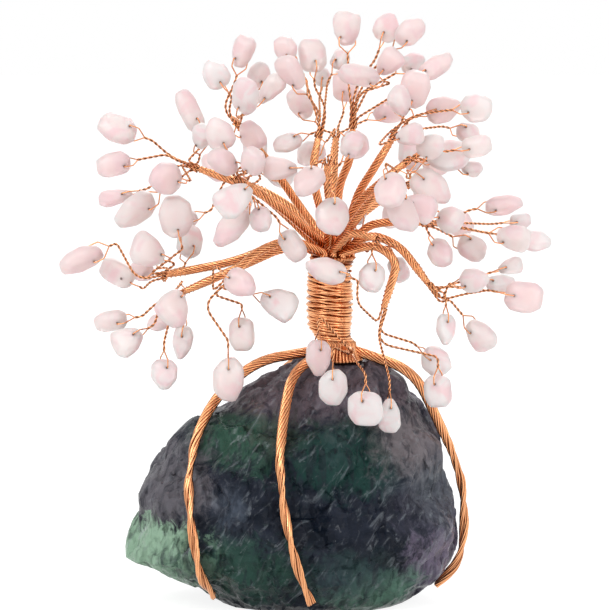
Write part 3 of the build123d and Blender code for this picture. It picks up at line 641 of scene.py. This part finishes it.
def twig_piece(node):
    """Ropes, twisted pairs and bare eyes of one branch."""
    shape = Shape()
    pick = random.Random(node)
    for points, triangles in islands(node):
        sides, route = bar_of(points, triangles)
        if sides == ROPE_SIDES:
            line, along = even(rounded(route), 2.0 * STEP)
            if np.linalg.norm(line[0] - TRUNK_TOP) > np.linalg.norm(line[-1] - TRUNK_TOP):
                line = line[::-1]
            near_tip = np.clip(1.0 - (along[-1] - along) / ROPE_TAPER, 0.0, 1.0)
            orbit = (ROPE_R - ROPE_STRAND_R) * (1.0 - ROPE_THINNING * near_tip ** 1.5)
            shape.twist(line, along, ROPE_STRANDS, orbit[:, None], ROPE_STRAND_R, ROPE_PITCH,
                        pick.uniform(0, 6), ROPE_TONES)
            # dark filling seen between the strands: painted shade
            shape.tube(line, orbit - 0.3 * ROPE_STRAND_R, WIRE_SIDES, FILL_SHADE_TONE)
            tip = along > along[-1] - KNOT_LONG
            over = (orbit + ROPE_STRAND_R + 0.4 * WIRE_R)[tip][:, None]
            shape.twist(line[tip], along[tip], 2, over, WIRE_R, -KNOT_PITCH, pick.uniform(0, 6), KNOT_TONES)
        elif sides == PAIR_SIDES:
            line, along = even(rounded(route), STEP)
            pitch = PAIR_PITCH * pick.uniform(0.85, 1.15)
            shape.twist(line, along, 2, WIRE_R, WIRE_R, pitch, pick.uniform(0, 6), [pick.uniform(0.8, 1.0)])
        else:
            lift = unit(route[2] - route[3]) * EYE_LIFT
            route[1:3] += lift
            route[3:5] -= lift
            line, _along = even(rounded(route, EYE_BEND), 0.6 * STEP)
            shape.tube(line, WIRE_R, WIRE_SIDES, pick.uniform(0.6, 1.0))
    return shape.piece(node + "_look", node, "tree", COPPER)


def pebble(points):
    """Tumbled chip through the outermost points of a drilled one, and the points of its hole."""
    bm = bmesh.new()
    for place in points:
        bm.verts.new(place)
    bmesh.ops.convex_hull(bm, input=bm.verts)
    bmesh.ops.delete(bm, geom=[v for v in bm.verts if not v.link_faces], context="VERTS")
    bmesh.ops.dissolve_limit(bm, angle_limit=math.radians(2.0), verts=bm.verts, edges=bm.edges)
    outer = np.array([v.co for v in bm.verts])
    hole = np.array([place for place in points if np.linalg.norm(outer - place, axis=1).min() > OFF_HULL])
    bmesh.ops.poke(bm, faces=[face for face in bm.faces if len(face.verts) > 4])
    bmesh.ops.triangulate(bm, faces=bm.faces)
    bmesh.ops.subdivide_edges(bm, edges=bm.edges, cuts=3, use_grid_fill=True)
    for _ in range(CHIP_SOFTENING):
        bmesh.ops.smooth_vert(bm, verts=bm.verts, factor=0.5,
                              use_axis_x=True, use_axis_y=True, use_axis_z=True)
    bm.normal_update()
    corners = np.array([v.co for v in bm.verts])
    normals = np.array([v.normal for v in bm.verts])
    bm.verts.index_update()
    faces = [tuple(v.index for v in face.verts) for face in bm.faces]
    bm.free()
    middle = outer.mean(axis=0)
    axes = np.linalg.svd(outer - middle)[2]
    grow = np.ptp((outer - middle) @ axes.T, axis=0) / np.ptp((corners - middle) @ axes.T, axis=0)
    grow = np.minimum(grow, CHIP_GROW)
    corners = middle + ((corners - middle) @ axes.T * grow * CHIP_FILL) @ axes
    swell = [sum(height * noise.noise(Vector(place) * scale) for height, scale in CHIP_SWELLS)
             for place in corners]
    return corners + normals * np.array(swell)[:, None] * MM, faces, hole


def chip_piece(node, body):
    """Chips of one node, each with its own tone and the two ends of its hole drawn dark as painted shade."""
    shape = Shape()
    pick = random.Random(node)
    for points, _triangles in islands(node):
        corners, faces, hole = pebble(points)
        shape.add(corners, faces, pick.random())
        middle = hole.mean(axis=0)
        axis = np.linalg.svd(hole - middle)[2][0]
        reach = np.abs((hole - middle) @ axis).max()
        # a dark stub at each end of the hole: painted shade
        for way in (axis, -axis):
            edge = middle + way * reach
            shape.tube(np.array([edge - way * depth for depth in HOLE_DEPTHS]), HOLE_R, 10, HOLE_SHADE_TONE)
    return shape.piece(node + "_look", node, body, QUARTZ)


def cleaved(place, wide, tall, slope):
    """Height of a cleaved surface, in millimetres.

    It has flat facets of a given size, tilted and meeting in worn edges.
    """
    scaled = Vector((place.x / wide, place.y / wide, place.z / tall))
    height = 0.0
    total = 0.0
    for cell in noise.voronoi(scaled)[1]:
        gap = scaled - cell
        weight = math.exp(-EDGE_WEAR * gap.length_squared)
        gap = Vector((gap.x * wide, gap.y * wide, gap.z * tall))
        tilt = Vector([noise.noise(cell * 7.3 + shift) for shift in TILT_SHIFTS])
        height += weight * slope * gap.dot(tilt)
        total += weight
    return height / total


def rock_piece(node):
    """Rough cleaved block: the CAD facets, divided and broken into smaller ones."""
    bm = bmesh.new()
    points, triangles = welded(node)
    corners = [bm.verts.new(place) for place in points]
    for triangle in triangles:
        bm.faces.new([corners[v] for v in triangle])
    bmesh.ops.recalc_face_normals(bm, faces=bm.faces)
    bmesh.ops.subdivide_edges(bm, edges=bm.edges, cuts=1, use_grid_fill=True, smooth=0.3)
    for _ in range(3):
        bmesh.ops.subdivide_edges(bm, edges=bm.edges, cuts=1, use_grid_fill=True)
    bm.normal_update()
    moves = []
    for v in bm.verts:
        place = v.co / MM
        push = cleaved(place, *LARGE_FACETS) + cleaved(place, *SMALL_FACETS) - ROCK_SINK
        push += ROCK_GRAIN * noise.fractal(place * 0.9, 0.8, 2.0, 3)
        hold = max(0.0, min(1.0, (place.z - FLAT_HEIGHT) / FLAT_FADE))
        moves.append(v.normal * max(LEAST_PUSH, min(GREATEST_PUSH, push)) * hold * MM)
    for v, move in zip(bm.verts, moves):
        v.co += move
        v.co.z = max(v.co.z, 0.0)
    shape = Shape()
    bm.verts.index_update()
    faces = [tuple(v.index for v in face.verts) for face in bm.faces]
    shape.add([tuple(v.co) for v in bm.verts], faces, 0.5)
    bm.free()
    made = shape.piece(node + "_look", node, "tree", FLUORITE)
    made.data.set_sharp_from_angle(angle=SHARP_FROM)
    return made


def root_piece(node):
    """Cable of fine strands that parts into two loose bundles lower down the block."""
    shape = Shape()
    pick = random.Random(node)
    _sides, route = bar_of(*islands(node)[0])
    if route[0][2] < route[-1][2]:
        route = route[::-1]
    line, along = even(rounded(route), 1.6 * STEP)
    first, second = carried_axes(line)
    parting = np.clip((along / along[-1] - PARTING_START) / PARTING_LONG, 0.0, 1.0)[:, None]
    phase = pick.uniform(0, 6)

    def around(angle):
        return first * np.cos(angle)[:, None] + second * np.sin(angle)[:, None]

    for k in range(ROOT_STRANDS):
        close = around(phase + 2.0 * math.pi * (k / ROOT_STRANDS + along / ROOT_PITCH))
        side = math.pi * (k % 2)
        bundle = around(phase + side + 2.0 * math.pi * along / BUNDLE_PITCH)
        inner = around(2.0 * math.pi * (k / ROOT_STRANDS * 2.0 + along / ROOT_PITCH))
        loose = bundle * BUNDLE_ORBIT * MM + inner * STRAND_ORBIT * MM
        offset = close * (1.0 - parting) * (ROOT_R - ROOT_STRAND_R) + loose * parting
        outward = offset / np.maximum(np.linalg.norm(offset, axis=1, keepdims=True), 1e-9)
        # each strand gets painted shade on its side that faces the root's middle
        shape.tube(line + offset, ROOT_STRAND_R, WIRE_SIDES, pick.uniform(0.75, 1.0), outward)
    # dark filling seen between the strands: painted shade
    fill = ROOT_FILL_R * (1.0 - parting[:, 0]) + LOOSE_FILL_R * parting[:, 0]
    shape.tube(line, fill * MM, 8, FILL_SHADE_TONE)
    return shape.piece(node + "_look", node, "tree", COPPER)


def splay(drop):
    """How far the trunk's wires lean out at a drop below the foot of its core."""
    return FOOT_FLARE * (np.maximum(drop, 0.0) / FOOT_DROP) ** 1.5


def core_piece():
    """Trunk wires side by side from the fork to the foot, where they splay out onto the block."""
    shape = Shape()
    rows = core_profile()
    low, high = rows[0][0], rows[-1][0]
    pick = random.Random("core")
    levels = np.linspace(low, high, 40)
    drops = FOOT_DROP * np.linspace(1.0, 0.1, 10)
    for k in range(CORE_WIRES):
        line = []
        for level in [*(low - drops), *levels]:
            middle, radius = at_level(rows, level)
            angle = 2.0 * math.pi * k / CORE_WIRES + CORE_TWIST * (level - low)
            reach = radius - CORE_WIRE_INSET + splay(low - level)
            line.append(round_trunk(middle, reach, angle, level))
        shape.tube(np.array(line), CORE_WIRE_R, WIRE_SIDES, pick.uniform(0.35, 0.9))
    # dark core filling seen between the wires, also below the foot: painted shade
    middles, radii = zip(*[at_level(rows, level) for level in levels])
    shape.tube(np.array(middles), np.array(radii) - CORE_FILL_INSET, 24, CORE_SHADE_TONE)
    below = np.array([[*middles[0][:2], low - drop] for drop in drops])
    shape.tube(below, radii[0] - FOOT_FILL_INSET + splay(drops), 24, CORE_SHADE_TONE)
    return shape.piece("trunk_core_look", "trunk_core", "tree", COPPER)


def winding_piece():
    """Close binding turns with a few bands laid across them."""
    shape = Shape()
    rows = core_profile()
    low, high = rows[0][0] + BARE_BELOW, rows[-1][0] - BARE_ABOVE
    pick = random.Random("binding")
    for turns, start, end, lift, lean in BINDINGS:
        start, end = low + start * (high - low), low + end * (high - low)
        count = turns * TURN_POINTS
        line = []
        wander = pick.uniform(0, 50)
        high_side = math.pi + pick.uniform(-0.5, 0.5)
        for k in range(count + 1):
            share = k / count
            level = start + (end - start) * share
            angle = 2.0 * math.pi * turns * share
            middle, radius = at_level(rows, min(max(level, low), high))
            drift = noise.noise(Vector((share * 40.0, wander, 0.0))) * BIND_WANDER * MM
            tilt = lean * MM * math.cos(angle - high_side)
            bulge = BIND_BULGE * math.sin(math.pi * (level - low) / (high - low)) ** 2
            reach = radius + BIND_R + (BIND_CLEAR + lift + bulge) * MM
            line.append(round_trunk(middle, reach, angle, level + drift + tilt))
        line = np.array(line)
        # the binding's side that faces the core is darkened as painted shade
        axis = [at_level(rows, min(max(place[2], low), high))[0] for place in line]
        outward = line - np.array(axis)
        outward[:, 2] = 0.0
        shape.tube(line, BIND_R, 8, 1.0, outward / np.linalg.norm(outward, axis=1, keepdims=True))
    return shape.piece("trunk_winding_look", "trunk_winding", "tree", COPPER)


BODY_OF = {node: body for body, nodes in RECORD["behaviour"]["bodies"].items() for node in nodes}
for node in sorted(NODES):
    if node.endswith("_twigs"):
        twig_piece(node)
    elif node.startswith("root_"):
        root_piece(node)
    elif node == "rock_base":
        rock_piece(node)
    elif node == "trunk_core":
        core_piece()
    elif node == "trunk_winding":
        winding_piece()
    else:
        chip_piece(node, BODY_OF[node])


# Stage, light and camera


def seen_directly(tree):
    """1 for rays from the camera and for those that mirror or pass through the object."""
    path = tree.nodes.new("ShaderNodeLightPath")
    some = math_node(tree, "MAXIMUM", path.outputs["Is Glossy Ray"], path.outputs["Is Transmission Ray"])
    return math_node(tree, "MAXIMUM", path.outputs["Is Camera Ray"], some)


def seen_apart(tree, plain, seen, surface):
    """Give a surface one shader for what is seen directly and a plain one for all other light."""
    mix = tree.nodes.new("ShaderNodeMixShader")
    tree.links.new(seen_directly(tree), mix.inputs[0])
    tree.links.new(plain.outputs[0], mix.inputs[1])
    tree.links.new(seen.outputs[0], mix.inputs[2])
    tree.links.new(mix.outputs[0], surface)


def stage_sheet():
    """Plain pale floor that shows as the photograph's white ground."""
    mesh = bpy.data.meshes.new("floor")
    wide = FLOOR_WIDE
    corners = [(-wide, -wide, 0), (wide, -wide, 0), (wide, wide, 0), (-wide, wide, 0)]
    mesh.from_pydata(corners, [], [(0, 1, 2, 3)])
    floor = bpy.data.objects.new("floor", mesh)
    bpy.context.scene.collection.objects.link(floor)
    material, tree, shader = fresh("floor")
    shader.inputs["Base Color"].default_value = (0.9, 0.9, 0.9, 1)
    shader.inputs["Roughness"].default_value = 0.9
    glow = tree.nodes.new("ShaderNodeEmission")
    glow.inputs["Strength"].default_value = FLOOR_GLOW
    faint = tree.nodes.new("ShaderNodeBsdfDiffuse")
    faint.inputs["Color"].default_value = (0.3, 0.3, 0.3, 1)
    both = tree.nodes.new("ShaderNodeAddShader")
    tree.links.new(glow.outputs[0], both.inputs[0])
    tree.links.new(faint.outputs[0], both.inputs[1])
    seen_apart(tree, shader, both, tree.nodes["Material Output"].inputs["Surface"])
    mesh.materials.append(material)


def lamp(name, place, aim, size, power):
    data = bpy.data.lights.new(name, "AREA")
    data.shape = "DISK"
    data.size = size
    data.energy = power
    made = bpy.data.objects.new(name, data)
    made.location = place
    made.rotation_euler = (Vector(aim) - Vector(place)).to_track_quat("-Z", "Y").to_euler()
    bpy.context.scene.collection.objects.link(made)


def set_world():
    world = bpy.data.worlds.new("studio")
    bpy.context.scene.world = world
    world.use_nodes = True
    tree = world.node_tree
    back = tree.nodes["Background"]
    back.inputs["Color"].default_value = (1, 1, 1, 1)
    back.inputs["Strength"].default_value = WORLD_STRENGTH
    seen = tree.nodes.new("ShaderNodeBackground")
    seen.inputs["Color"].default_value = (1, 1, 1, 1)
    seen.inputs["Strength"].default_value = 1.0
    seen_apart(tree, back, seen, tree.nodes["World Output"].inputs["Surface"])


def set_camera():
    data = bpy.data.cameras.new("camera")
    data.lens = LENS
    data.sensor_width = SENSOR
    data.clip_start, data.clip_end = 0.01, 20.0
    camera = bpy.data.objects.new("camera", data)
    bpy.context.scene.collection.objects.link(camera)
    bpy.context.scene.camera = camera
    reach = max(WIDE_PX, TALL_PX) * PER_PX * LENS / SENSOR
    right = (0.5 * WIDE_PX - AXIS_PX) * PER_PX
    rise = (GROUND_PX - 0.5 * TALL_PX) * PER_PX
    back = Vector((0.0, -math.cos(VIEW_RISE), math.sin(VIEW_RISE)))
    up = Vector((0.0, math.sin(VIEW_RISE), math.cos(VIEW_RISE)))
    aim = Vector((right, 0.0, 0.0)) + up * rise * math.cos(VIEW_RISE)
    camera.location = aim + back * reach
    camera.rotation_euler = (-back).to_track_quat("-Z", "Y").to_euler()


stage_sheet()
set_world()
set_camera()
for name, setting in LAMPS.items():
    lamp(name, *setting)
bpy.context.scene.view_settings.view_transform = "Standard"
